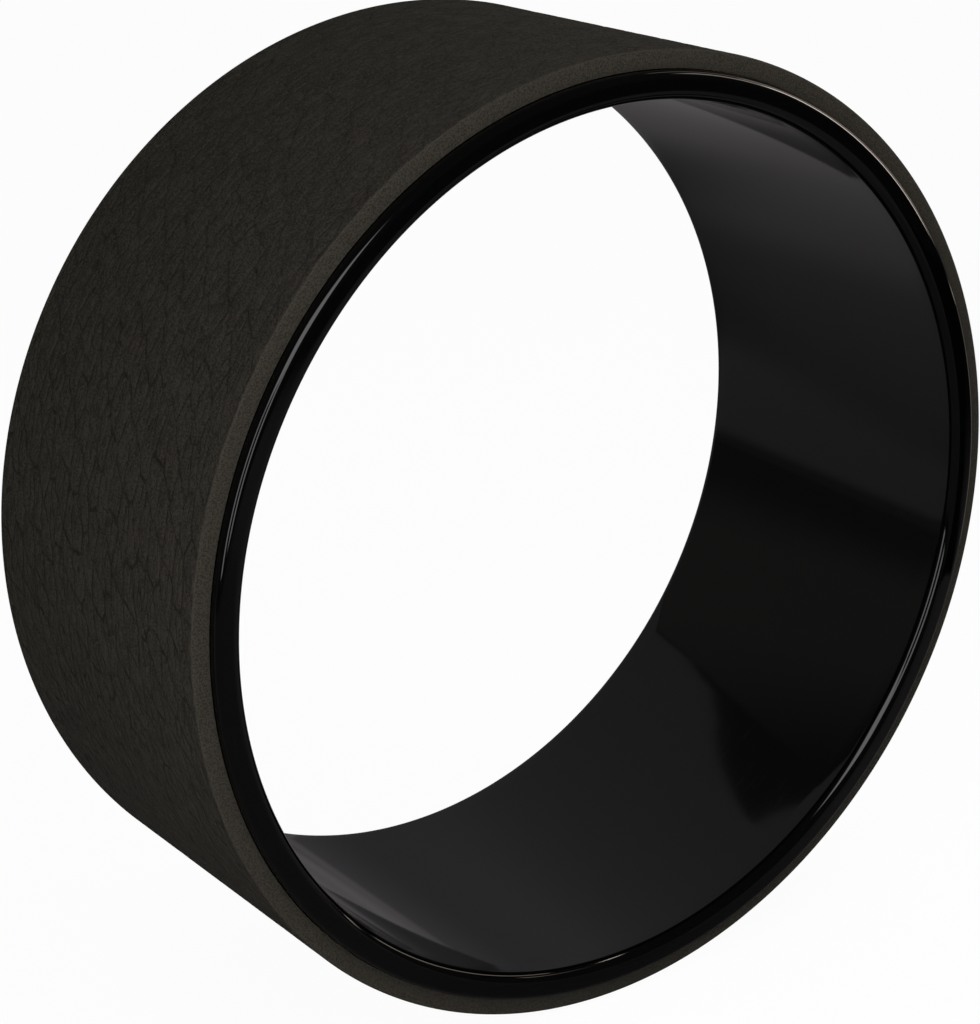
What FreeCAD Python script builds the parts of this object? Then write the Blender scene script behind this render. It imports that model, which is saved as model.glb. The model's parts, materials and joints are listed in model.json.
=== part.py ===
import FreeCAD, Part
import math
import os

import Sketcher

# Yoga wheel: a rigid plastic hoop with a strip of foam bonded round it.
# The wheel's axis lies along Y, Z is up, and the origin is at the centre of the wheel.
# The pad's two ends meet on the +X side.

# Driving sizes in millimetres: name, value, meaning.
SIZES = (
    ("bore_radius", 149.0, "hoop, radius of the smooth inner wall"),
    ("hoop_wall", 9.5, "hoop, radial thickness"),
    ("hoop_width", 132.5, "hoop, overall width along the axis"),
    ("rim_outer_round", 2.5, "hoop, rounding of the rim on the pad's side"),
    ("rim_inner_round", 4.0, "hoop, rounding of the rim on the inner wall's side"),
    ("rim_proud", 3.75, "how far the rim stands out past the pad's cut face"),
    ("film_thickness", 0.3, "bond film, thickness of the adhesive coat"),
    ("film_setback", 2.0, "bond film, distance of its edge from the pad's cut face"),
    ("pad_thickness", 6.2, "pad, radial thickness of the foam"),
    ("pad_edge_round", 0.8, "pad, rounding of the tread's two edges"),
    ("seam_width", 0.4, "width of the butt joint between the pad's two ends"),
    ("seam_recess", 0.4, "depth of the joint's glue below the pad's outer faces"),
)

# Sizes that follow from the driving ones, as expressions over the sheet.
HOOP_RADIUS = "(sizes.bore_radius + sizes.hoop_wall)"
FILM_RADIUS = f"({HOOP_RADIUS} + sizes.film_thickness)"
TREAD_RADIUS = f"({FILM_RADIUS} + sizes.pad_thickness)"
PAD_WIDTH = "(sizes.hoop_width - 2 * sizes.rim_proud)"
FILM_WIDTH = f"({PAD_WIDTH} - 2 * sizes.film_setback)"

ORIGIN_POINT = (-1, 1)
HORIZONTAL_AXIS = -1

document = FreeCAD.newDocument("yoga_wheel")


def write_sizes():
    """Fill the sheet with one driving size per row."""
    sheet = document.addObject("Spreadsheet::Sheet", "sizes")
    for row, (alias, value, meaning) in enumerate(SIZES, start=1):
        sheet.set(f"A{row}", meaning)
        sheet.set(f"B{row}", str(value))
        sheet.setAlias(f"B{row}", alias)
    document.recompute()


def make_body(label):
    """Empty body whose label names the node."""
    body = document.addObject("PartDesign::Body", label)
    body.Label = label
    return body


def rectangle_sketch(body, name, role, low, high, height):
    """Rectangle on one of the body's origin planes, centred on the sketch's horizontal axis.

    low and high are expressions for its two ends along that axis, height for its size across it.
    """
    plane = next(item for item in body.Origin.OriginFeatures if item.Role == role)
    sketch = body.newObject("Sketcher::SketchObject", name)
    sketch.AttachmentSupport = (plane, "")
    sketch.MapMode = "FlatFace"
    corners = [FreeCAD.Vector(x, y, 0) for x, y in ((1, -1), (2, -1), (2, 1), (1, 1))]
    for index, corner in enumerate(corners):
        sketch.addGeometry(Part.LineSegment(corner, corners[(index + 1) % len(corners)]), False)
    bottom, right, top, left = range(len(corners))
    for line in (bottom, right, top, left):
        sketch.addConstraint(Sketcher.Constraint("Coincident", line, 2, (line + 1) % len(corners), 1))
    for line in (bottom, top):
        sketch.addConstraint(Sketcher.Constraint("Horizontal", line))
    sketch.addConstraint(Sketcher.Constraint("Vertical", right))
    sketch.addConstraint(Sketcher.Constraint("Symmetric", left, 1, left, 2, HORIZONTAL_AXIS))
    spans = (
        ("low", Sketcher.Constraint("DistanceX", *ORIGIN_POINT, bottom, 1, 1.0), low),
        ("high", Sketcher.Constraint("DistanceX", *ORIGIN_POINT, bottom, 2, 2.0), high),
        ("height", Sketcher.Constraint("DistanceY", right, 1, right, 2, 2.0), height),
    )
    for label, constraint, expression in spans:
        sketch.renameConstraint(sketch.addConstraint(constraint), label)
        sketch.setExpression(f"Constraints.{label}", expression)
    return sketch


def revolve_ring(body, inner_radius, outer_radius, width):
    """Plain ring about the wheel's axis, from a rectangular section."""
    section = rectangle_sketch(body, f"{body.Name}_section", "XY_Plane", inner_radius, outer_radius, width)
    ring = body.newObject("PartDesign::Revolution", f"{body.Name}_ring")
    ring.Profile = section
    ring.ReferenceAxis = (section, ["V_Axis"])
    ring.Angle = 360.0
    section.Visibility = False
    document.recompute()
    return ring


def round_corners(body, base, which, radius):
    """Round the ring's corner circles of the least or the greatest radius."""
    circles = {
        f"Edge{number}": edge.Curve.Radius
        for number, edge in enumerate(base.Shape.Edges, start=1)
        if isinstance(edge.Curve, Part.Circle) and edge.isClosed()
    }
    wanted = which(circles.values())
    edges = [name for name, value in circles.items() if math.isclose(value, wanted)]
    rounding = body.newObject("PartDesign::Fillet", f"{body.Name}_{which.__name__}_round")
    rounding.Base = (base, edges)
    rounding.setExpression("Radius", radius)
    document.recompute()
    return rounding


def make_hoop():
    """Rigid hoop: a plain ring whose rims are rounded on both corners."""
    body = make_body("hoop")
    ring = revolve_ring(body, "sizes.bore_radius", HOOP_RADIUS, "sizes.hoop_width")
    outside = round_corners(body, ring, max, "sizes.rim_outer_round")
    round_corners(body, outside, min, "sizes.rim_inner_round")
    return body


def make_bond_film():
    """Adhesive coat on the hoop's outer face, kept back from the pad's cut faces."""
    body = make_body("bond_film")
    revolve_ring(body, HOOP_RADIUS, FILM_RADIUS, FILM_WIDTH)
    return body


def make_pad():
    """Foam strip wrapped round the hoop, open at the butt joint between its ends."""
    body = make_body("pad")
    ring = revolve_ring(body, FILM_RADIUS, TREAD_RADIUS, PAD_WIDTH)
    round_corners(body, ring, max, "sizes.pad_edge_round")
    joint = rectangle_sketch(
        body,
        "pad_joint",
        "XZ_Plane",
        "sizes.bore_radius",
        f"{TREAD_RADIUS} + sizes.pad_thickness",
        "sizes.seam_width",
    )
    cut = body.newObject("PartDesign::Pocket", "pad_joint_cut")
    cut.Profile = joint
    cut.Type = "ThroughAll"
    cut.Midplane = True
    joint.Visibility = False
    return body


def make_seam_bond():
    """Glue line between the pad's ends, a little below the tread and the cut faces."""
    slab = document.addObject("Part::Box", "seam_bond")
    slab.Label = "seam_bond"
    half_width = f"({PAD_WIDTH} / 2 - sizes.seam_recess)"
    expressions = {
        "Length": "sizes.pad_thickness - sizes.seam_recess",
        "Width": f"2 * {half_width}",
        "Height": "sizes.seam_width",
        "Placement.Base.x": FILM_RADIUS,
        "Placement.Base.y": f"-{half_width}",
        "Placement.Base.z": "-sizes.seam_width / 2",
    }
    for property_name, expression in expressions.items():
        slab.setExpression(property_name, expression)
    return slab


def check(pieces):
    """Stop if anything in the document failed, or a piece is not one valid solid."""
    for item in document.Objects:
        if {"Invalid", "Error"} & set(item.State):
            raise RuntimeError(f"{item.Label} failed: {item.State}")
    for piece in pieces:
        if piece.Shape.isNull() or not piece.Shape.isValid():
            raise RuntimeError(f"{piece.Label} has no valid shape")
        if len(piece.Shape.Solids) != 1:
            raise RuntimeError(f"{piece.Label} is not one solid")


def main():
    write_sizes()
    pieces = [make_hoop(), make_bond_film(), make_pad(), make_seam_bond()]
    document.recompute()
    check(pieces)
    os.makedirs("parts", exist_ok=True)
    for piece in pieces:
        piece.Shape.exportStep(f"parts/{piece.Label}.step")
        print(f"{piece.Label}: {piece.Shape.Volume / 1000:.1f} cm3")


main()
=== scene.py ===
"""Yoga wheel: a gloss black hoop with a grained foam pad bonded round it, in a plain pale studio.

The wheel's axis lies along Y, Z is up and the origin is at the centre of the wheel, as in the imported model.
"""

import json
import logging
import math
from dataclasses import dataclass, field
from enum import Enum
from typing import Dict, List, Mapping, Optional, Sequence, Tuple, Union

import bpy
import numpy as np
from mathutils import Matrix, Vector


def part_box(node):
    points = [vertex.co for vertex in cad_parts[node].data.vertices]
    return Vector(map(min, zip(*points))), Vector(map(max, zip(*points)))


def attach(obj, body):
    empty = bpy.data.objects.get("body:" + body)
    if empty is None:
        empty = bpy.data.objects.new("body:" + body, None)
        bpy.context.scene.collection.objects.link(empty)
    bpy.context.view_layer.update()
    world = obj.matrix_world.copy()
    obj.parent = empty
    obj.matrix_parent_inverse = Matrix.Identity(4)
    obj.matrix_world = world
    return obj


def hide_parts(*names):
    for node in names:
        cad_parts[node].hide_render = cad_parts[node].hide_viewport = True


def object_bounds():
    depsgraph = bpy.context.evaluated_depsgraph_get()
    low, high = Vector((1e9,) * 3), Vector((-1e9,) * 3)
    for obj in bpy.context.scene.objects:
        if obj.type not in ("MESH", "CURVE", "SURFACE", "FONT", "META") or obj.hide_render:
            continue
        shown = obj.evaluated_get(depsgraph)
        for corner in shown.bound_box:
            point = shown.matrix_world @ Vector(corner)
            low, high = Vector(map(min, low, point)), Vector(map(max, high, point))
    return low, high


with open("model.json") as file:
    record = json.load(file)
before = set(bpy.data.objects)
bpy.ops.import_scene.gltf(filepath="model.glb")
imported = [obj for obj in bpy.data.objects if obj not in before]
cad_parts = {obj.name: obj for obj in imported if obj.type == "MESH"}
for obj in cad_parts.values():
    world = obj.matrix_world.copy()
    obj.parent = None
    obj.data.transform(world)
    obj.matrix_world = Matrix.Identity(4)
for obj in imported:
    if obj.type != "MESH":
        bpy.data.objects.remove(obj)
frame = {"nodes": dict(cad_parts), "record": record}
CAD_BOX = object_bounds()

Colour = Tuple[float, float, float, float]
Span = Tuple[float, float]
Operand = Union["Value", float]
Given = Union["Value", float, Sequence[float]]

MM = 0.001
FLOOR_LEVEL = CAD_BOX[0].z
WHITE: Colour = (1.0, 1.0, 1.0, 1.0)
WARM: Colour = (1.0, 0.87, 0.75, 1.0)
QUARTER_TURN = math.pi / 2
FULL_TURN = 2 * math.pi
SHARP_ANGLE = math.radians(50.0)
SAME_POINT = 1e-9

# Noise runs about its middle value and seldom strays further from it than its reach.
NOISE_MIDDLE = 0.5
NOISE_REACH = 0.25

# The Mix node's colour sockets share their names with its other sockets, so they go by place.
MIX_SHARE, MIX_FIRST, MIX_SECOND = 0, 6, 7
MIX_COLOUR = 2

log = logging.getLogger("yoga_wheel")


class Slot(Enum):
    """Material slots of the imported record."""

    HOOP = "hoop_plastic"
    PAD = "pad_foam"


class Rays(Enum):
    """Kinds of ray that a studio object can be left out of."""

    CAMERA = "visible_camera"
    DIFFUSE = "visible_diffuse"
    GLOSSY = "visible_glossy"
    TRANSMISSION = "visible_transmission"
    VOLUME = "visible_volume_scatter"
    SHADOW = "visible_shadow"


class CellFeature(Enum):
    """What a net of cells is measured by."""

    EDGE = "DISTANCE_TO_EDGE"
    MIDDLE = "F1"


@dataclass(frozen=True)
class Texture:
    """Noise over a surface: the size of its largest features, its finer layers and their strength."""

    size: float
    detail: float = 2.0
    roughness: float = 0.5


class Value:
    """A node's output that Python's operators work on, with one Math node for each operation."""

    def __init__(self, sheet: "NodeSheet", socket: bpy.types.NodeSocket) -> None:
        """Keeps the socket and the sheet that it is on."""
        self.sheet = sheet
        self.socket = socket

    def __add__(self, other: Operand) -> "Value":
        """self + other."""
        return self.sheet.maths("ADD", self, other)

    def __radd__(self, other: Operand) -> "Value":
        """other + self."""
        return self.sheet.maths("ADD", other, self)

    def __sub__(self, other: Operand) -> "Value":
        """self - other."""
        return self.sheet.maths("SUBTRACT", self, other)

    def __rsub__(self, other: Operand) -> "Value":
        """other - self."""
        return self.sheet.maths("SUBTRACT", other, self)

    def __mul__(self, other: Operand) -> "Value":
        """self * other."""
        return self.sheet.maths("MULTIPLY", self, other)

    def __rmul__(self, other: Operand) -> "Value":
        """other * self."""
        return self.sheet.maths("MULTIPLY", other, self)

    def __truediv__(self, other: Operand) -> "Value":
        """self / other."""
        return self.sheet.maths("DIVIDE", self, other)

    def __neg__(self) -> "Value":
        """-self."""
        return self.sheet.maths("MULTIPLY", self, -1.0)

    def __abs__(self) -> "Value":
        """abs(self)."""
        return self.sheet.maths("ABSOLUTE", self)


class NodeSheet:
    """A shader or geometry node tree that is written from Python expressions."""

    def __init__(self, tree: bpy.types.NodeTree) -> None:
        """Starts from the given tree."""
        self.tree = tree

    def node(
        self,
        kind: str,
        settings: Optional[Mapping[str, object]] = None,
        sockets: Optional[Mapping[Union[str, int], Given]] = None,
    ) -> bpy.types.Node:
        """Adds one node.

        Args:
            kind: the node's type.
            settings: its own properties, set before its sockets.
            sockets: values or links of its inputs, by name or by place.

        Returns:
            The new node.
        """
        node = self.tree.nodes.new(kind)
        for name, setting in (settings or {}).items():
            setattr(node, name, setting)
        for name, given in (sockets or {}).items():
            if isinstance(given, Value):
                self.tree.links.new(given.socket, node.inputs[name])
            else:
                node.inputs[name].default_value = given
        return node

    def value(self, node: bpy.types.Node, output: Union[str, int] = 0) -> Value:
        """One output of a node as a value."""
        return Value(self, node.outputs[output])

    def maths(self, operation: str, *operands: Operand) -> Value:
        """Result of a Math node."""
        return self.value(self.node("ShaderNodeMath", {"operation": operation}, dict(enumerate(operands))))

    def vector(self, operation: str, *operands: Given) -> Value:
        """Result of a Vector Math node on vectors."""
        sockets = dict(enumerate(operands))
        return self.value(self.node("ShaderNodeVectorMath", {"operation": operation}, sockets))

    def scaled(self, vector: Given, factor: Operand) -> Value:
        """A vector times a number."""
        sockets = {"Vector": vector, "Scale": factor}
        return self.value(self.node("ShaderNodeVectorMath", {"operation": "SCALE"}, sockets))

    def ease(self, value: Value, low: float, high: float) -> Value:
        """0 up to low, 1 from high on, with a smooth rise between them."""
        sockets = {"Value": value, "From Min": low, "From Max": high}
        return self.value(self.node("ShaderNodeMapRange", {"interpolation_type": "SMOOTHSTEP"}, sockets))

    def length(self, x: Value, y: Value) -> Value:
        """Distance from the origin of a plane."""
        return self.maths("SQRT", x * x + y * y)

    def split(self, vector: Value) -> Tuple[Value, Value, Value]:
        """The three parts of a vector."""
        node = self.node("ShaderNodeSeparateXYZ", sockets={0: vector})
        return self.value(node, 0), self.value(node, 1), self.value(node, 2)

    def joined(self, x: Operand, y: Operand, z: Operand) -> Value:
        """A vector from three numbers."""
        return self.value(self.node("ShaderNodeCombineXYZ", sockets={0: x, 1: y, 2: z}))

    def noise(self, place: Value, texture: Texture, output: Union[str, int] = 0) -> Value:
        """Noise over a place.

        Args:
            place: vector in the units of the texture's size.
            texture: size and layers of the noise.
            output: the noise node's output, by name or by place.

        Returns:
            A number from 0 to 1, or a colour of three such numbers.
        """
        sockets = {
            "Vector": place,
            "Scale": 1.0 / texture.size,
            "Detail": texture.detail,
            "Roughness": texture.roughness,
        }
        return self.value(self.node("ShaderNodeTexNoise", {"noise_dimensions": "3D"}, sockets), output)

    def cellular(
        self,
        place: Value,
        feature: CellFeature,
        size: float = 1.0,
        disorder: float = 1.0,
        flat: bool = False,
    ) -> bpy.types.Node:
        """Net of cells over a place.

        Args:
            place: vector in the units of the size.
            feature: what the node measures.
            size: size of a cell.
            disorder: 0 for a regular net, 1 for a random one.
            flat: True where the net lies in a plane.

        Returns:
            The new Voronoi node.
        """
        settings = {"voronoi_dimensions": "2D" if flat else "3D", "feature": feature.value}
        sockets = {"Vector": place, "Scale": 1.0 / size, "Randomness": disorder}
        return self.node("ShaderNodeTexVoronoi", settings, sockets)

    def mixed(self, share: Operand, first: Given, second: Given) -> Value:
        """Mix of two colours: the first at share 0, the second at share 1."""
        sockets = {MIX_SHARE: share, MIX_FIRST: first, MIX_SECOND: second}
        return self.value(self.node("ShaderNodeMix", {"data_type": "RGBA"}, sockets), MIX_COLOUR)

    def blended(self, share: Value, first: Value, second: Value) -> Value:
        """Mix of two shaders: the first at share 0, the second at share 1."""
        return self.value(self.node("ShaderNodeMixShader", sockets={0: share, 1: first, 2: second}))

    def glow(self, colour: Given, strength: float = 1.0) -> Value:
        """Emission shader."""
        return self.value(self.node("ShaderNodeEmission", sockets={"Color": colour, "Strength": strength}))

    def seen(self) -> Value:
        """Finds the rays that see the background: from the camera, off gloss and through glass.

        Returns:
            1 for those rays and 0 for the others.
        """
        path = self.node("ShaderNodeLightPath")
        camera, glossy, transmission = (
            self.value(path, name) for name in ("Is Camera Ray", "Is Glossy Ray", "Is Transmission Ray")
        )
        return self.maths("MINIMUM", camera + glossy + transmission, 1.0)


class MaterialSheet(NodeSheet):
    """A new material's node tree."""

    def __init__(self, name: str) -> None:
        """Makes the material with an empty tree.

        Args:
            name: the material's name.
        """
        self.material = bpy.data.materials.new(name)
        self.material.use_nodes = True
        super().__init__(self.material.node_tree)
        self.tree.nodes.clear()

    def place(self) -> Value:
        """Place in the object's own axes in metres, which for a piece are those of the shared frame."""
        return self.value(self.node("ShaderNodeTexCoord"), "Object")

    def bump(self, height: Value, strength: float = 1.0) -> Value:
        """Normal that follows a height in metres."""
        sockets = {"Strength": strength, "Distance": 1.0, "Height": height}
        return self.value(self.node("ShaderNodeBump", sockets=sockets))

    def surface(self, shader: Value) -> bpy.types.Material:
        """Sends a shader to the output and hands over the material."""
        self.node("ShaderNodeOutputMaterial", sockets={"Surface": shader})
        return self.material

    def principled(self, sockets: Mapping[str, Given]) -> bpy.types.Material:
        """Finishes the material with one Principled shader on the given sockets."""
        return self.surface(self.value(self.node("ShaderNodeBsdfPrincipled", sockets=sockets)))


@dataclass(frozen=True)
class Grain:
    """Relief embossed in the tread: long leaf-shaped cells in slanting rows, each with a slit in it.

    The pattern lies on the unrolled tread, along its length and across its width, and the same nodes
    shape the mesh and colour the material. Reaches and the slit's span are in cells.
    """

    tread_radius: float
    cell_length: float = 14.0 * MM
    cell_width: float = 6.8 * MM
    slant: float = 0.5
    disorder: float = 0.62
    wander: float = 1.1 * MM
    drift: Texture = Texture(9.0 * MM)
    crown_reach: float = 0.22
    crease_reach: float = 0.085
    slit_reach: float = 0.07
    slit_bank: float = 0.14
    slit_span: Span = (-0.02, 0.24)
    slit_share: float = 0.8
    crease_depth: float = 0.24 * MM
    slit_depth: float = 0.12 * MM
    ripple_length: float = 4.5 * MM
    ripple_width: float = 1.1 * MM
    ripple: Texture = Texture(1.0, 2.0, 0.6)

    def unrolled(self, place: Value) -> Value:
        """Place on the tread laid flat, with its ends at the butt joint.

        Args:
            place: place on the wheel in metres.

        Returns:
            Vector of length along the tread, place across it, and 0.
        """
        sheet = place.sheet
        x, y, z = sheet.split(place)
        angle = sheet.maths("ARCTAN2", -z, -x)
        flat = sheet.joined(angle * self.tread_radius, y, 0.0)
        drift = sheet.noise(flat, self.drift, "Color")
        centred = sheet.vector("SUBTRACT", drift, (NOISE_MIDDLE, NOISE_MIDDLE, NOISE_MIDDLE))
        return sheet.vector("ADD", flat, sheet.scaled(centred, self.wander / NOISE_REACH))

    def cells(self, place: Value) -> Tuple[Value, Value, Value]:
        """Place in the net of cells.

        Args:
            place: place on the wheel in metres.

        Returns:
            Distance from the nearest crease, and the place along and across the cell from its middle,
            all in cells.
        """
        sheet = place.sheet
        along, across, _ = sheet.split(self.unrolled(place))
        row = across / self.cell_width
        net = sheet.joined(along / self.cell_length + row * self.slant, row, 0.0)
        edges = sheet.cellular(net, CellFeature.EDGE, disorder=self.disorder, flat=True)
        middles = sheet.cellular(net, CellFeature.MIDDLE, disorder=self.disorder, flat=True)
        inside = sheet.vector("SUBTRACT", net, sheet.value(middles, "Position"))
        lengthwise, crosswise, _ = sheet.split(inside)
        return sheet.value(edges, "Distance"), lengthwise - crosswise * self.slant, crosswise

    def slit(self, lengthwise: Value, crosswise: Value, reach: float) -> Value:
        """Slit that runs from one end of a cell to its middle.

        Args:
            lengthwise: place along the cell from its middle.
            crosswise: place across the cell from its middle.
            reach: half the slit's width.

        Returns:
            1 in the slit and 0 away from it.
        """
        sheet = lengthwise.sheet
        narrow = 1.0 - sheet.ease(abs(crosswise), 0.0, reach)
        return narrow * (1.0 - sheet.ease(lengthwise, *self.slit_span))

    def relief(self, place: Value) -> Value:
        """Height of the tread's surface.

        Args:
            place: place on the wheel in metres.

        Returns:
            Height in metres, 0 at the crowns and below it in the creases and slits.
        """
        edge, lengthwise, crosswise = self.cells(place)
        crown = place.sheet.ease(edge, 0.0, self.crown_reach)
        slit = self.slit(lengthwise, crosswise, self.slit_bank)
        return (crown - 1.0) * self.crease_depth - slit * self.slit_depth

    def creases(self, place: Value) -> Value:
        """Lines of the grain.

        Args:
            place: place on the wheel in metres.

        Returns:
            1 along the middle of a crease, a little less along a slit, and 0 away from them.
        """
        edge, lengthwise, crosswise = self.cells(place)
        crease = 1.0 - place.sheet.ease(edge, 0.0, self.crease_reach)
        slit = self.slit(lengthwise, crosswise, self.slit_reach)
        return place.sheet.maths("MAXIMUM", crease, slit * self.slit_share)

    def ripples(self, place: Value) -> Value:
        """Fine ripples that run along the cells.

        Args:
            place: place on the wheel in metres.

        Returns:
            A number from 0 to 1.
        """
        sheet = place.sheet
        along, across, _ = sheet.split(self.unrolled(place))
        slanted = along / self.ripple_length + across / self.cell_width * self.slant
        return sheet.noise(sheet.joined(slanted, across / self.ripple_width, 0.0), self.ripple)


@dataclass(frozen=True)
class FoamFinish:
    """Closed-cell foam: a grained brown-black tread and plain cut faces.

    The creases are darkened with painted shade, which comes and goes in patches. That shade and the ripples'
    tone are faintest at the top and the bottom of the wheel, where light falls straight onto the tread, and
    strongest at its sides, where light grazes it. The cut's span is in shares of the edge's rounding,
    measured from the cut face.
    """

    grain: Grain
    half_width: float
    edge_round: float
    tread_colour: Colour = (0.0325, 0.0290, 0.0232, 1.0)
    shade_colour: Colour = (0.0141, 0.0126, 0.0101, 1.0)
    # Painted shade that darkens the creases of the grain.
    crease_shade_colour: Colour = (0.0030, 0.0027, 0.0022, 1.0)
    cut_colour: Colour = (0.0382, 0.0341, 0.0270, 1.0)
    pore_colour: Colour = (0.0200, 0.0177, 0.0138, 1.0)
    pores: Texture = Texture(0.35 * MM, 3.0, 0.7)
    specks: Texture = Texture(0.60 * MM, 1.0, 0.5)
    mottle: Texture = Texture(9.0 * MM, 4.0, 0.6)
    patches: Texture = Texture(8.0 * MM, 3.0, 0.7)
    cut_span: Span = (0.6, 0.1)
    pit_span: Span = (0.56, 0.72)
    patch_span: Span = (0.36, 0.60)
    tone_span: Span = (0.40, 0.60)
    face_span: Span = (0.40, 0.66)
    # Shares of the creases' painted shade: the least that the patches leave, and what is left at the top and
    # the bottom of the wheel.
    least_patch_share: float = 0.4
    top_shade_share: float = 0.35
    speck_share: float = 0.80
    mottle_share: float = 0.20
    ripple_share: float = 0.35
    # Strength of the painted shade in the creases.
    crease_shade_share: float = 0.62
    roughness: float = 0.66
    mottle_roughness: float = 0.16
    crease_roughness: float = 0.10
    pore_height: float = 0.10 * MM
    speck_height: float = 0.06 * MM
    crease_depth: float = 0.12 * MM
    pit_depth: float = 0.05 * MM
    specular_level: float = 0.06

    def material(self) -> bpy.types.Material:
        """Builds the foam's material.

        Returns:
            The new material.
        """
        sheet = MaterialSheet("foam")
        place = sheet.place()
        x, y, _ = sheet.split(place)
        start, end = (self.half_width - share * self.edge_round for share in self.cut_span)
        cut = sheet.ease(abs(y), start, end)
        pores = sheet.noise(place, self.pores)
        specks = sheet.noise(place, self.specks)
        mottle = sheet.noise(place, self.mottle)
        # Painted shade: depth is how strongly the creases and the ripples darken the tread. It is full at the
        # sides of the wheel, where light grazes the tread, and partial at its top and bottom, where light
        # falls straight onto it.
        sideways = x / self.grain.tread_radius
        depth = self.top_shade_share + (1.0 - self.top_shade_share) * sideways * sideways
        # The creases' painted shade also comes and goes in patches.
        patches = sheet.ease(sheet.noise(place, self.patches), *self.patch_span)
        crease_shade_strength = (self.least_patch_share + (1.0 - self.least_patch_share) * patches) * depth
        creases = self.grain.creases(place) * crease_shade_strength * (1.0 - cut)
        ripples = (self.grain.ripples(place) - NOISE_MIDDLE) * depth
        tone = self.speck_share * specks + self.mottle_share * mottle + self.ripple_share * ripples
        tread = sheet.mixed(sheet.ease(tone, *self.tone_span), self.shade_colour, self.tread_colour)
        # Painted shade: the tread is darkened along the creases.
        tread = sheet.mixed(creases * self.crease_shade_share, tread, self.crease_shade_colour)
        face = sheet.mixed(sheet.ease(specks, *self.face_span), self.cut_colour, self.pore_colour)
        pits = sheet.ease(pores, *self.pit_span) * cut
        raised = self.pore_height * pores + self.speck_height * specks
        height = raised - self.crease_depth * creases - self.pit_depth * pits
        roughness = self.roughness + self.mottle_roughness * mottle + self.crease_roughness * creases
        return sheet.principled(
            {
                "Base Color": sheet.mixed(cut, tread, face),
                "Roughness": roughness,
                "Normal": sheet.bump(height),
                "Specular IOR Level": self.specular_level,
            }
        )


@dataclass(frozen=True)
class GlossFinish:
    """Moulded black plastic, polished, with slight moulding waves and fine handling marks.

    The marks run along the hoop: their place along it counts only as mark_run metres for each radian.
    """

    colour: Colour = (0.0008, 0.0008, 0.0009, 1.0)
    worn_colour: Colour = (0.0030, 0.0028, 0.0030, 1.0)
    marks: Texture = Texture(0.9 * MM, 3.0, 0.7)
    patches: Texture = Texture(34.0 * MM, 3.0, 0.55)
    waves: Texture = Texture(26.0 * MM, 1.0, 0.4)
    mark_run: float = 12.0 * MM
    mark_span: Span = (0.58, 0.74)
    patch_span: Span = (0.42, 0.66)
    roughness: float = 0.042
    patch_roughness: float = 0.02
    scuff_roughness: float = 0.08
    wave_height: float = 0.004 * MM
    scuff_depth: float = 0.0006 * MM
    refraction: float = 1.5

    def material(self) -> bpy.types.Material:
        """Builds the plastic's material.

        Returns:
            The new material.
        """
        sheet = MaterialSheet("gloss_plastic")
        place = sheet.place()
        x, y, z = sheet.split(place)
        angle = sheet.maths("ARCTAN2", z, x)
        marks = sheet.noise(sheet.joined(angle * self.mark_run, y, sheet.length(x, z)), self.marks)
        patches = sheet.noise(place, self.patches)
        scuffs = sheet.ease(marks, *self.mark_span) * sheet.ease(patches, *self.patch_span)
        height = sheet.noise(place, self.waves) * self.wave_height - scuffs * self.scuff_depth
        return sheet.principled(
            {
                "Base Color": sheet.mixed(scuffs, self.colour, self.worn_colour),
                "Roughness": self.roughness + self.patch_roughness * patches + self.scuff_roughness * scuffs,
                "Normal": sheet.bump(height),
                "IOR": self.refraction,
            }
        )


@dataclass(frozen=True)
class AdhesiveFinish:
    """Dried contact adhesive: amber and satin, with brush streaks and small bubbles."""

    colour: Colour = (0.32, 0.25, 0.13, 1.0)
    thick_colour: Colour = (0.20, 0.135, 0.055, 1.0)
    streaks: Texture = Texture(2.4 * MM, 3.0, 0.6)
    streak_stretch: Tuple[float, float, float] = (1.0, 0.12, 1.0)
    streak_span: Span = (0.35, 0.65)
    bubble_size: float = 1.6 * MM
    bubble_span: Span = (0.08, 0.22)
    roughness: float = 0.36
    streak_roughness: float = 0.22
    streak_height: float = 0.12 * MM
    bubble_height: float = 0.10 * MM
    bump_strength: float = 0.7

    def material(self) -> bpy.types.Material:
        """Builds the adhesive's material.

        Returns:
            The new material.
        """
        sheet = MaterialSheet("contact_adhesive")
        place = sheet.place()
        streaks = sheet.noise(sheet.vector("MULTIPLY", place, self.streak_stretch), self.streaks)
        spacing = sheet.cellular(place, CellFeature.MIDDLE, self.bubble_size)
        bubbles = 1.0 - sheet.ease(sheet.value(spacing, "Distance"), *self.bubble_span)
        height = self.streak_height * streaks + self.bubble_height * bubbles
        thickness = sheet.ease(streaks, *self.streak_span)
        return sheet.principled(
            {
                "Base Color": sheet.mixed(thickness, self.colour, self.thick_colour),
                "Roughness": self.roughness + self.streak_roughness * streaks,
                "Normal": sheet.bump(height, self.bump_strength),
            }
        )


def straight(start: Tuple[float, float], end: Tuple[float, float], rows: int) -> np.ndarray:
    """Points from start up to, but not including, end."""
    share = np.arange(rows)[:, None] / rows
    return np.array(start) * (1.0 - share) + np.array(end) * share


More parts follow.
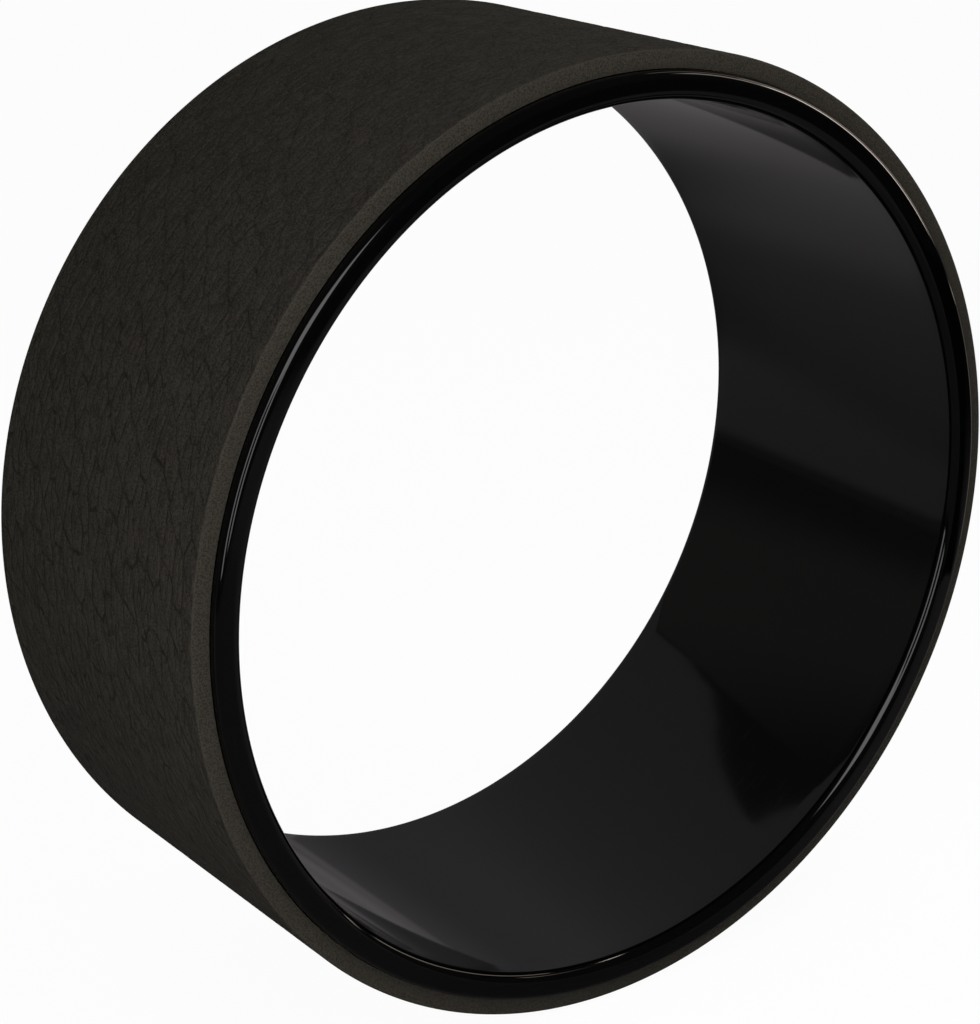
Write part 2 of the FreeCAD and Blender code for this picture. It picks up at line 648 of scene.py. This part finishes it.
@dataclass(frozen=True)
class Section:
    """Cross-section of a ring: a rectangle in radius and width with rounded corners.

    The loop runs out along the front face, across the outer face, in along the back face and back
    across the inner face.
    """

    inner: float
    outer: float
    half_width: float
    inner_round: float
    outer_round: float
    side_rows: int
    outer_rows: int
    inner_rows: int
    corner_rows: int

    def corner(self, centre: Tuple[float, float], radius: float, first_angle: float) -> np.ndarray:
        """Quarter turn about a centre, up to but not including its end.

        Args:
            centre: radius and place across, of the corner's centre.
            radius: the corner's rounding.
            first_angle: direction of the first point, from the radial direction towards +Y.

        Returns:
            Points as radius and place across; a single one where the corner is sharp.
        """
        rows = self.corner_rows if radius > 0.0 else 1
        angles = first_angle + np.arange(rows) / rows * QUARTER_TURN
        return np.stack([centre[0] + radius * np.cos(angles), centre[1] + radius * np.sin(angles)], axis=1)

    def loop(self) -> np.ndarray:
        """Goes once round the section.

        Returns:
            Points as radius and place across, with no point twice.
        """
        low, high, half = self.inner, self.outer, self.half_width
        near, far = self.inner_round, self.outer_round
        parts = [
            straight((low + near, -half), (high - far, -half), self.side_rows),
            self.corner((high - far, far - half), far, -QUARTER_TURN),
            straight((high, far - half), (high, half - far), self.outer_rows),
            self.corner((high - far, half - far), far, 0.0),
            straight((high - far, half), (low + near, half), self.side_rows),
            self.corner((low + near, half - near), near, QUARTER_TURN),
            straight((low, half - near), (low, near - half), self.inner_rows),
            self.corner((low + near, near - half), near, 2 * QUARTER_TURN),
        ]
        points = np.concatenate(parts)
        fresh = np.linalg.norm(points - np.roll(points, 1, axis=0), axis=1) > SAME_POINT
        return points[fresh]


def swept(loop: np.ndarray, angles: np.ndarray) -> np.ndarray:
    """Copies of a section's loop round the wheel's axis.

    Args:
        loop: the section's points.
        angles: turn of each point of each copy, from +X towards +Z.

    Returns:
        Array of loops, points in a loop, and coordinates in metres.
    """
    radius = np.broadcast_to(loop[:, 0], angles.shape)
    across = np.broadcast_to(loop[:, 1], angles.shape)
    return np.stack([radius * np.cos(angles), across, radius * np.sin(angles)], axis=-1)


def skinned(name: str, rings: np.ndarray, closed: bool) -> bpy.types.Object:
    """Piece whose skin joins a row of section loops.

    Args:
        name: the piece's name.
        rings: array of loops, points in a loop, and coordinates in metres.
        closed: True where the last loop joins the first; otherwise a face closes each end.

    Returns:
        The new object, linked to the scene.
    """
    count, size = rings.shape[:2]
    spans = count if closed else count - 1
    here = np.arange(spans)[:, None] * size
    there = (np.arange(spans)[:, None] + 1) % count * size
    point = np.arange(size)[None, :]
    after = (point + 1) % size
    quads = np.stack([here + point, here + after, there + after, there + point], axis=-1).reshape(-1, 4)
    faces = quads.tolist()
    if not closed:
        faces.append(list(range(size))[::-1])
        faces.append(list(range((count - 1) * size, count * size)))
    mesh = bpy.data.meshes.new(name)
    mesh.from_pydata(rings.reshape(-1, 3).tolist(), [], faces)
    mesh.update()
    mesh.shade_smooth()
    mesh.set_sharp_from_angle(angle=SHARP_ANGLE)
    piece = bpy.data.objects.new(name, mesh)
    bpy.context.scene.collection.objects.link(piece)
    return piece


def dress(piece: bpy.types.Object, material: bpy.types.Material) -> None:
    """Gives a piece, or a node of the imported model, one material.

    Args:
        piece: the piece or node.
        material: what it is made of.
    """
    if piece.material_slots:
        for place in piece.material_slots:
            place.material = material
    else:
        piece.data.materials.append(material)


@dataclass
class Hoop:
    """The rigid plastic hoop: smooth inner wall and a rounded rim at each side."""

    bore_radius: float
    outer_radius: float
    half_width: float
    inner_round: float
    outer_round: float = 2.5 * MM
    turns: int = 480
    finish: GlossFinish = field(default_factory=GlossFinish)

    @classmethod
    def from_frame(cls) -> "Hoop":
        """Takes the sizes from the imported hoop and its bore.

        Returns:
            The hoop, not yet built.
        """
        low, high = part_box("hoop")
        bore = next(mount for mount in frame["record"]["mounts"] if mount["name"] == "hoop_bore")["dims"]
        half_width = (high[1] - low[1]) / 2
        return cls(
            bore_radius=bore["r_mm"] * MM,
            outer_radius=(high[0] - low[0]) / 2,
            half_width=half_width,
            inner_round=half_width - bore["length_mm"] * MM / 2,
        )

    def rings(self) -> np.ndarray:
        """Section loops once round the axis.

        Returns:
            Array of loops, points in a loop, and coordinates in metres.
        """
        loop = Section(
            inner=self.bore_radius,
            outer=self.outer_radius,
            half_width=self.half_width,
            inner_round=self.inner_round,
            outer_round=self.outer_round,
            side_rows=3,
            outer_rows=6,
            inner_rows=24,
            corner_rows=12,
        ).loop()
        angles = np.arange(self.turns) / self.turns * FULL_TURN
        return swept(loop, np.repeat(angles[:, None], len(loop), axis=1))

    def build(self) -> bpy.types.Object:
        """Makes the ring and dresses it.

        Returns:
            The hoop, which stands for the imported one.
        """
        piece = skinned("hoop_moulding", self.rings(), closed=True)
        dress(piece, self.finish.material())
        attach(piece, "root")
        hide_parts("hoop")
        return piece


@dataclass
class Pad:
    """The foam strip round the hoop, with its grained tread, cut faces and butt joint.

    The tread's span is in depths below it and the face's span in distances from the cut faces.
    """

    inner_radius: float
    tread_radius: float
    half_width: float
    joint_gap: float
    edge_round: float = 0.8 * MM
    spans: int = 672
    tread_rows: int = 128
    joint_line: float = 0.1 * MM
    joint_lip: float = 0.4 * MM
    joint_dip: float = 0.18 * MM
    joint_dip_reach: float = 1.8 * MM
    tread_span: Span = (0.5 * MM, 0.1 * MM)
    face_span: Span = (0.2 * MM, 0.05 * MM)
    face_wave: float = 0.12 * MM
    waves: Texture = Texture(12.0 * MM, 3.0, 0.6)

    @classmethod
    def from_frame(cls) -> "Pad":
        """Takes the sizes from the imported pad, adhesive coat and joint.

        Returns:
            The pad, not yet built.
        """
        low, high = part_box("pad")
        film_low, film_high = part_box("bond_film")
        joint_low, joint_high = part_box("seam_bond")
        return cls(
            inner_radius=(film_high[2] - film_low[2]) / 2,
            tread_radius=(high[2] - low[2]) / 2,
            half_width=(high[1] - low[1]) / 2,
            joint_gap=joint_high[2] - joint_low[2],
        )

    def rings(self) -> np.ndarray:
        """Section loops from one end of the strip to the other.

        The ends meet in a fine line at the pad's faces and stand further apart below them, round the glue.

        Returns:
            Array of loops, points in a loop, and coordinates in metres.
        """
        loop = Section(
            inner=self.inner_radius,
            outer=self.tread_radius,
            half_width=self.half_width,
            inner_round=0.0,
            outer_round=self.edge_round,
            side_rows=5,
            outer_rows=self.tread_rows,
            inner_rows=2,
            corner_rows=4,
        ).loop()
        first = np.arcsin(self.joint_line / 2 / loop[:, 0])
        share = np.arange(self.spans + 1)[:, None] / self.spans
        strip = swept(loop, first * (1.0 - share) + (FULL_TURN - first) * share)
        depth_share = 1.0 - self.joint_lip / (self.tread_radius - self.inner_radius)
        radius = self.inner_radius + (loop[:, 0] - self.inner_radius) * depth_share
        across = loop[:, 1] * (1.0 - self.joint_lip / self.half_width)
        end = np.stack([radius, across, np.full_like(radius, self.joint_gap / 2)], axis=-1)
        return np.concatenate([end[None], strip, end[None] * (1.0, 1.0, -1.0)])

    def relief(self, place: Value, grain: Grain) -> Value:
        """Height of the finished pad over the smooth one.

        Args:
            place: place on the wheel in metres.
            grain: pattern of the tread.

        Returns:
            Height in metres: the grain and the joint's dip on the tread, and slight waves on the cut faces.
        """
        sheet = place.sheet
        x, y, z = sheet.split(place)
        across = abs(y)
        edge_start, edge_end = self.half_width - 2.0 * self.edge_round, self.half_width - self.edge_round
        tread_start, tread_end = (self.tread_radius - depth for depth in self.tread_span)
        face_start, face_end = (self.half_width - distance for distance in self.face_span)
        on_tread = 1.0 - sheet.ease(across, edge_start, edge_end)
        on_tread = on_tread * sheet.ease(sheet.length(x, z), tread_start, tread_end)
        on_face = sheet.ease(across, face_start, face_end)
        from_joint = abs(sheet.maths("ARCTAN2", z, x)) * self.tread_radius
        dip = (1.0 - sheet.ease(from_joint, 0.0, self.joint_dip_reach)) * self.joint_dip
        wave = (sheet.noise(place, self.waves) - NOISE_MIDDLE) * self.face_wave
        return on_tread * (grain.relief(place) - dip) + on_face * wave

    def emboss(self, piece: bpy.types.Object, grain: Grain) -> None:
        """Presses the relief into the mesh.

        Args:
            piece: the smooth pad.
            grain: pattern of the tread.
        """
        tree = bpy.data.node_groups.new("pad_relief", "GeometryNodeTree")
        for direction in ("INPUT", "OUTPUT"):
            tree.interface.new_socket("Geometry", in_out=direction, socket_type="NodeSocketGeometry")
        sheet = NodeSheet(tree)
        start = sheet.value(sheet.node("NodeGroupInput"))
        place = sheet.value(sheet.node("GeometryNodeInputPosition"))
        normal = sheet.value(sheet.node("GeometryNodeInputNormal"))
        offset = sheet.scaled(normal, self.relief(place, grain))
        moved = sheet.node("GeometryNodeSetPosition", sockets={"Geometry": start, "Offset": offset})
        sheet.node("NodeGroupOutput", sockets={0: sheet.value(moved)})
        modifier = piece.modifiers.new("relief", "NODES")
        modifier.node_group = tree
        evaluated = piece.evaluated_get(bpy.context.evaluated_depsgraph_get())
        shaped = bpy.data.meshes.new_from_object(evaluated)
        piece.modifiers.clear()
        piece.data = shaped

    def build(self) -> bpy.types.Object:
        """Wraps the section round the hoop, embosses it and dresses it.

        Returns:
            The pad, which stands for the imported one.
        """
        grain = Grain(tread_radius=self.tread_radius)
        piece = skinned("foam_pad", self.rings(), closed=False)
        self.emboss(piece, grain)
        dress(piece, FoamFinish(grain, self.half_width, self.edge_round).material())
        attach(piece, "root")
        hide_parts("pad")
        return piece


@dataclass
class Adhesive:
    """The coat under the pad and the glue line in its butt joint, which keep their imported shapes."""

    nodes: Tuple[str, ...] = ("bond_film", "seam_bond")
    finish: AdhesiveFinish = field(default_factory=AdhesiveFinish)

    def build(self) -> List[bpy.types.Object]:
        """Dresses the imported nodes.

        Returns:
            The dressed nodes.
        """
        material = self.finish.material()
        pieces = [frame["nodes"][name] for name in self.nodes]
        for piece in pieces:
            dress(piece, material)
        return pieces


def bearing(azimuth: float, elevation: float) -> Vector:
    """Unit vector towards a place in the studio.

    Args:
        azimuth: degrees from the front of the wheel, towards +X.
        elevation: degrees above the level.

    Returns:
        The direction from the wheel.
    """
    turn, rise = math.radians(azimuth), math.radians(elevation)
    return Vector((math.sin(turn) * math.cos(rise), -math.cos(turn) * math.cos(rise), math.sin(rise)))


def limit_rays(thing: bpy.types.Object, kept: Sequence[Rays]) -> None:
    """Leaves a studio object visible to the named kinds of ray only."""
    for rays in Rays:
        setattr(thing, rays.value, rays in kept)


def rectangle(width: float, height: float, level: float = 0.0) -> List[Vector]:
    """Corners of a level rectangle about the Z axis."""
    turns = ((-1, -1), (1, -1), (1, 1), (-1, 1))
    return [Vector((right * width / 2, up * height / 2, level)) for right, up in turns]


def studio_surface(
    name: str,
    points: Sequence[Vector],
    faces: Sequence[Sequence[int]],
    material: bpy.types.Material,
    kept: Sequence[Rays] = (Rays.GLOSSY,),
) -> bpy.types.Object:
    """Surface of the studio, which isn't part of the wheel.

    Args:
        name: the object's name.
        points: its corners.
        faces: its faces, as places in the list of corners.
        material: its material.
        kept: the rays that see it, which are those off gloss unless others are named.

    Returns:
        The new object, linked to the scene and seen only by the kept rays.
    """
    mesh = bpy.data.meshes.new(name)
    mesh.from_pydata([tuple(point) for point in points], [], faces)
    mesh.materials.append(material)
    surface = bpy.data.objects.new(name, mesh)
    bpy.context.scene.collection.objects.link(surface)
    limit_rays(surface, kept)
    return surface


@dataclass(frozen=True, kw_only=True)
class Hung:
    """A rectangle that hangs at a bearing from the wheel."""

    name: str
    azimuth: float
    elevation: float
    distance: float
    width: float
    height: float
    brightness: float

    def hang(self, thing: bpy.types.Object, level: bool = False) -> None:
        """Puts an object in its place.

        Args:
            thing: the lamp or card.
            level: True where it lies level; otherwise it faces the wheel.
        """
        towards = bearing(self.azimuth, self.elevation)
        facing = Vector((0.0, 0.0, 1.0)) if level else towards
        thing.location = towards * self.distance
        thing.rotation_mode = "QUATERNION"
        thing.rotation_quaternion = facing.to_track_quat("Z", "Y")


@dataclass(frozen=True, kw_only=True)
class Lamp(Hung):
    """A soft lamp, which gloss doesn't mirror."""

    def build(self) -> None:
        """Hangs the lamp."""
        light = bpy.data.lights.new(self.name, "AREA")
        light.shape = "RECTANGLE"
        light.size = self.width
        light.size_y = self.height
        light.energy = self.brightness * math.pi * self.width * self.height
        lamp = bpy.data.objects.new(self.name, light)
        bpy.context.scene.collection.objects.link(lamp)
        self.hang(lamp)
        limit_rays(lamp, (Rays.DIFFUSE, Rays.SHADOW))


@dataclass(frozen=True, kw_only=True)
class Card(Hung):
    """A studio card that only gloss mirrors, with round corners and soft edges.

    A card of no brightness is a black flag, which hides the cards behind it.
    """

    corner: float = 0.06
    softness: float = 0.05
    tint: Colour = WHITE
    level: bool = False

    def material(self) -> bpy.types.Material:
        """Glow that fades out at the card's edges.

        Returns:
            The new material.
        """
        sheet = MaterialSheet(f"{self.name}_glow")
        x, y, _ = sheet.split(sheet.place())
        beyond_side = sheet.maths("MAXIMUM", abs(x) - (self.width / 2 - self.corner), 0.0)
        beyond_end = sheet.maths("MAXIMUM", abs(y) - (self.height / 2 - self.corner), 0.0)
        beyond = sheet.length(beyond_side, beyond_end)
        lit = 1.0 - sheet.ease(beyond, self.corner - self.softness, self.corner)
        clear = sheet.value(sheet.node("ShaderNodeBsdfTransparent"))
        return sheet.surface(sheet.blended(lit, clear, sheet.glow(self.tint, self.brightness)))

    def build(self) -> None:
        """Hangs the card."""
        corners = rectangle(self.width, self.height)
        card = studio_surface(self.name, corners, [range(len(corners))], self.material())
        self.hang(card, self.level)


@dataclass(frozen=True)
class Fade:
    """Change of a screen's colour over a span of heights."""

    span: Span
    colour: Colour


@dataclass(frozen=True)
class Screen:
    """An upright screen across the back of the studio, cut to an outline, that only gloss mirrors."""

    name: str
    depth: float
    outline: Tuple[Tuple[float, float], ...]
    colour: Colour
    foot: Optional[Fade] = None
    head: Optional[Fade] = None

    def material(self) -> bpy.types.Material:
        """Dim glow, which may change towards the foot of the screen and towards its head.

        Returns:
            The new material.
        """
        sheet = MaterialSheet(f"{self.name}_glow")
        height = sheet.split(sheet.place())[2]
        colour: Given = self.colour
        if self.foot is not None:
            colour = sheet.mixed(sheet.ease(height, *self.foot.span), self.foot.colour, colour)
        if self.head is not None:
            colour = sheet.mixed(sheet.ease(height, *self.head.span), colour, self.head.colour)
        return sheet.surface(sheet.glow(colour))

    def build(self) -> None:
        """Stands the screen up."""
        points = [Vector((x, self.depth, z)) for x, z in self.outline]
        studio_surface(self.name, points, [range(len(points))], self.material())


@dataclass(frozen=True)
class Ground:
    """Dim ground of the tent: brightest beside the wheel and behind it, and dark in the distance.

    Levels are brightnesses, gains are added to them and losses taken from them. Spans are in metres,
    from the middle of the wheel or, where they are named for a side, along X or Y.
    """

    tint: Tuple[float, float, float] = (1.03, 0.97, 1.0)
    behind_span: Span = (-0.10, 0.10)
    edge_span: Span = (0.78, 1.12)
    far_front_level: float = 0.012
    far_back_level: float = 0.070
    right_back_span: Span = (-0.35, 0.15)
    right_back_reach: float = 0.29
    right_front_span: Span = (0.10, 0.50)
    right_front_reach: float = 0.28
    front_level: float = 0.055
    front_gain: float = 0.015
    front_span: Span = (0.09, 0.15)
    front_right_gain: float = 0.035
    front_right_span: Span = (0.08, 0.17)
    back_level: float = 0.12
    close_gain: float = 0.03
    close_span: Span = (0.15, 0.40)
    near_right_gain: float = 0.05
    near_right_span: Span = (0.04, 0.10)
    near_span: Span = (0.28, 0.42)
    deep_loss: float = 0.06
    deep_span: Span = (0.26, 0.42)
    beside_gain: float = 0.115
    beside_middle: float = 0.05
    beside_span: Span = (0.06, 0.18)
    far_right_loss: float = 0.04
    far_right_span: Span = (0.38, 0.52)

    def front(self, x: Value, distance: Value) -> Value:
        """Brightness in front of the wheel."""
        gain = self.front_gain * x.sheet.ease(distance, *self.front_span)
        return self.front_level + gain + self.front_right_gain * x.sheet.ease(x, *self.front_right_span)

    def back(self, x: Value, distance: Value) -> Value:
        """Brightness behind the wheel.

        Args:
            x: place to the right in metres.
            distance: distance from the middle of the wheel in metres.

        Returns:
            Brightness of the ground.
        """
        sheet = x.sheet
        close = 1.0 - sheet.ease(distance, *self.close_span)
        near_right = sheet.ease(x, *self.near_right_span) * (1.0 - sheet.ease(distance, *self.near_span))
        beside = sheet.ease(abs(x - self.beside_middle), *self.beside_span)
        deep = sheet.ease(distance, *self.deep_span) * (self.beside_gain * beside - self.deep_loss)
        far_right = sheet.ease(x, *self.far_right_span)
        gains = self.close_gain * close + self.near_right_gain * near_right + deep
        return self.back_level + gains - self.far_right_loss * far_right

    def material(self) -> bpy.types.Material:
        """Glow that follows the levels.

        Returns:
            The new material.
        """
        sheet = MaterialSheet("tent_ground")
        x, y, _ = sheet.split(sheet.place())
        distance = sheet.length(x, y)
        behind = sheet.ease(y, *self.behind_span)
        right_back = sheet.ease(x, *self.right_back_span) * behind
        right_front = sheet.ease(x, *self.right_front_span) * (1.0 - behind)
        reach = distance - self.right_back_reach * right_back + self.right_front_reach * right_front
        inside = 1.0 - sheet.ease(reach, *self.edge_span)
        far = self.far_front_level + (self.far_back_level - self.far_front_level) * behind
        front = self.front(x, distance)
        near = front + behind * (self.back(x, distance) - front)
        return sheet.surface(sheet.glow(sheet.scaled(self.tint, far + inside * (near - far))))


@dataclass(frozen=True)
class Tent:
    """Dark dome over the studio, with its own dim ground, that only gloss mirrors."""

    radius: float = 4.0
    ground_gap: float = 0.1 * MM
    cloth_colour: Colour = (0.030, 0.029, 0.030, 1.0)
    turns: int = 48
    rises: int = 12
    ground: Ground = Ground()

    def dome_points(self) -> List[Vector]:
        """Points of the dome.

        Returns:
            Rows of points from the floor up, with the top one last.
        """
        azimuths = np.linspace(0.0, 360.0, self.turns, endpoint=False)
        elevations = np.linspace(0.0, 90.0, self.rises, endpoint=False)
        directions = [bearing(azimuth, elevation) for elevation in elevations for azimuth in azimuths]
        directions.append(bearing(0.0, 90.0))
        return [direction * self.radius + Vector((0.0, 0.0, FLOOR_LEVEL)) for direction in directions]

    def dome_faces(self) -> List[Tuple[int, ...]]:
        """Faces of the dome.

        Returns:
            Faces between its rows of points, and those that meet at its top.
        """
        faces: List[Tuple[int, ...]] = []
        top = self.rises * self.turns
        for turn in range(self.turns):
            after = (turn + 1) % self.turns
            for base in range(0, top - self.turns, self.turns):
                above = base + self.turns
                faces.append((base + turn, base + after, above + after, above + turn))
            faces.append((top - self.turns + turn, top - self.turns + after, top))
        return faces

    def build(self) -> None:
        """Hangs the dome and lays its ground."""
        corners = rectangle(2 * self.radius, 2 * self.radius, FLOOR_LEVEL + self.ground_gap)
        studio_surface("tent_ground", corners, [range(len(corners))], self.ground.material())
        sheet = MaterialSheet("tent_cloth")
        cloth = sheet.surface(sheet.glow(self.cloth_colour))
        studio_surface("tent_dome", self.dome_points(), self.dome_faces(), cloth)


LAMPS = (
    Lamp(
        name="lamp_front", azimuth=-27.0, elevation=43.0, distance=0.55,
        width=0.35, height=0.30, brightness=3.3,
    ),
    Lamp(
        name="lamp_left", azimuth=-52.0, elevation=9.0, distance=0.52,
        width=0.35, height=0.30, brightness=2.4,
    ),
    Lamp(
        name="lamp_left_low", azimuth=-72.0, elevation=-10.0, distance=0.60,
        width=0.30, height=0.16, brightness=2.0,
    ),
    Lamp(
        name="lamp_right_top", azimuth=75.0, elevation=60.0, distance=0.70,
        width=0.35, height=0.35, brightness=4.2,
    ),
    Lamp(
        name="lamp_right", azimuth=60.0, elevation=0.0, distance=0.70,
        width=0.30, height=0.30, brightness=0.9,
    ),
)

CARDS = (
    Card(
        name="card_left_top", azimuth=-40.0, elevation=34.0, distance=1.6,
        width=1.35, height=0.78, brightness=2.6, corner=0.20, softness=0.15,
    ),
    Card(
        name="card_left_outer", azimuth=-60.0, elevation=8.0, distance=1.6,
        width=0.40, height=0.95, brightness=2.2,
    ),
    Card(
        name="card_left_inner", azimuth=-29.0, elevation=8.0, distance=1.6,
        width=0.40, height=0.95, brightness=2.2,
    ),
    Card(
        name="card_left_low", azimuth=-44.0, elevation=-12.0, distance=1.6,
        width=1.00, height=0.36, brightness=2.2,
    ),
    Card(
        name="card_right", azimuth=64.2, elevation=24.9, distance=0.392,
        width=0.048, height=0.23, brightness=12.5, corner=0.024, softness=0.02, tint=WARM,
    ),
    Card(
        name="card_right_side", azimuth=84.5, elevation=18.0, distance=1.8,
        width=0.30, height=1.20, brightness=1.7, tint=WARM,
    ),
    Card(
        name="flag_right", azimuth=54.5, elevation=1.4, distance=0.2026,
        width=0.064, height=0.13, brightness=0.0, corner=0.004, softness=0.004,
    ),
    Card(
        name="card_right_top", azimuth=67.0, elevation=33.0, distance=1.8,
        width=0.30, height=0.66, brightness=3.0, tint=WARM,
    ),
    Card(
        name="card_right_low", azimuth=80.0, elevation=-6.0, distance=1.8,
        width=0.50, height=0.18, brightness=2.0, tint=WARM,
    ),
    Card(
        name="card_right_back", azimuth=95.0, elevation=28.0, distance=1.8,
        width=0.20, height=1.70, brightness=1.3, tint=WARM,
    ),
    Card(
        name="card_right_floor", azimuth=95.0, elevation=-8.4, distance=1.11,
        width=1.3, height=0.5, brightness=0.30, tint=WARM, level=True,
    ),
)

SCREENS = (
    Screen(
        name="screen_pale",
        depth=1.02,
        outline=((-1.2, -0.165), (1.6, -0.165), (1.6, 1.7), (-1.2, 1.7)),
        colour=(0.194, 0.184, 0.192, 1.0),
        foot=Fade((0.05, 0.60), (0.112, 0.106, 0.112, 1.0)),
    ),
    Screen(
        name="screen_dark",
        depth=1.00,
        outline=(
            (-0.06, 1.056),
            (-1.40, 1.056),
            (-1.40, -0.165),
            (-0.52, -0.165),
            (-0.52, 0.67),
            (-0.482, 0.761),
            (-0.40, 0.836),
        ),
        colour=(0.038, 0.038, 0.042, 1.0),
        foot=Fade((0.0, 0.30), (0.052, 0.050, 0.052, 1.0)),
    ),
    Screen(
        name="screen_dim",
        depth=0.98,
        outline=(
            (-0.515, -0.16),
            (-0.515, 0.66),
            (-0.47, 0.90),
            (-0.43, 1.05),
            (-1.40, 1.05),
            (-1.40, -0.16),
        ),
        colour=(0.120, 0.112, 0.106, 1.0),
        foot=Fade((-0.08, 0.22), (0.050, 0.048, 0.050, 1.0)),
        head=Fade((0.48, 1.06), (0.032, 0.032, 0.036, 1.0)),
    ),
)


@dataclass
class Studio:
    """Pale floor, even light, soft lamps, and the dark tent, cards and screens that the gloss mirrors."""

    floor_side: float = 60.0
    floor_colour: Colour = (0.95, 0.95, 0.95, 1.0)
    white_share: float = 0.96
    ambient: float = 0.30
    tent: Tent = Tent()
    lamps: Tuple[Lamp, ...] = LAMPS
    cards: Tuple[Card, ...] = CARDS
    screens: Tuple[Screen, ...] = SCREENS

    def floor(self) -> None:
        """Lays the pale floor, which keeps the wheel's shadow."""
        sheet = MaterialSheet("pale_floor")
        paint = sheet.value(sheet.node("ShaderNodeBsdfDiffuse", sockets={"Color": self.floor_colour}))
        shader = sheet.blended(sheet.seen() * self.white_share, paint, sheet.glow(WHITE))
        corners = rectangle(self.floor_side, self.floor_side, FLOOR_LEVEL)
        studio_surface("floor", corners, [range(len(corners))], sheet.surface(shader), tuple(Rays))

    def world(self) -> None:
        """Sets even light from all round, and a white background where a ray sees it."""
        world = bpy.data.worlds.new("studio")
        world.use_nodes = True
        sheet = NodeSheet(world.node_tree)
        sheet.tree.nodes.clear()
        even, white = (
            sheet.value(sheet.node("ShaderNodeBackground", sockets={"Color": WHITE, "Strength": strength}))
            for strength in (self.ambient, 1.0)
        )
        sheet.node("ShaderNodeOutputWorld", sockets={"Surface": sheet.blended(sheet.seen(), even, white)})
        bpy.context.scene.world = world

    def build(self) -> None:
        """Sets the studio up."""
        bpy.context.scene.view_settings.view_transform = "Standard"
        self.world()
        self.floor()
        for part in (self.tent, *self.lamps, *self.cards, *self.screens):
            part.build()


@dataclass(frozen=True)
class PhotoCamera:
    """Camera at the photograph's viewing angle, fitted to the outlines of the tread and the opening."""

    azimuth: float = -36.167
    elevation: float = 19.758
    aim: Tuple[float, float, float] = (-7.48 * MM, 3.745 * MM, -3.87 * MM)
    distance: float = 908.55 * MM
    lens: float = 91.757
    sensor: float = 36.0
    clip_span: Span = (0.01, 100.0)

    def build(self) -> None:
        """Places the camera and makes it the scene's own."""
        data = bpy.data.cameras.new("photo_camera")
        data.lens = self.lens
        data.sensor_width = self.sensor
        data.clip_start, data.clip_end = self.clip_span
        camera = bpy.data.objects.new("photo_camera", data)
        back = bearing(self.azimuth, self.elevation)
        camera.location = Vector(self.aim) + back * self.distance
        camera.rotation_mode = "QUATERNION"
        camera.rotation_quaternion = (-back).to_track_quat("-Z", "Y")
        bpy.context.scene.collection.objects.link(camera)
        bpy.context.scene.camera = camera


def main() -> None:
    """Builds the wheel and its studio, and reports each piece."""
    logging.basicConfig(level=logging.INFO, format="%(name)s: %(message)s")
    PhotoCamera().build()
    Studio().build()
    pieces = [Hoop.from_frame().build(), Pad.from_frame().build(), *Adhesive().build()]
    for piece in pieces:
        log.info("%s: %d faces", piece.name, len(piece.data.polygons))


if __name__ == "__main__":
    main()
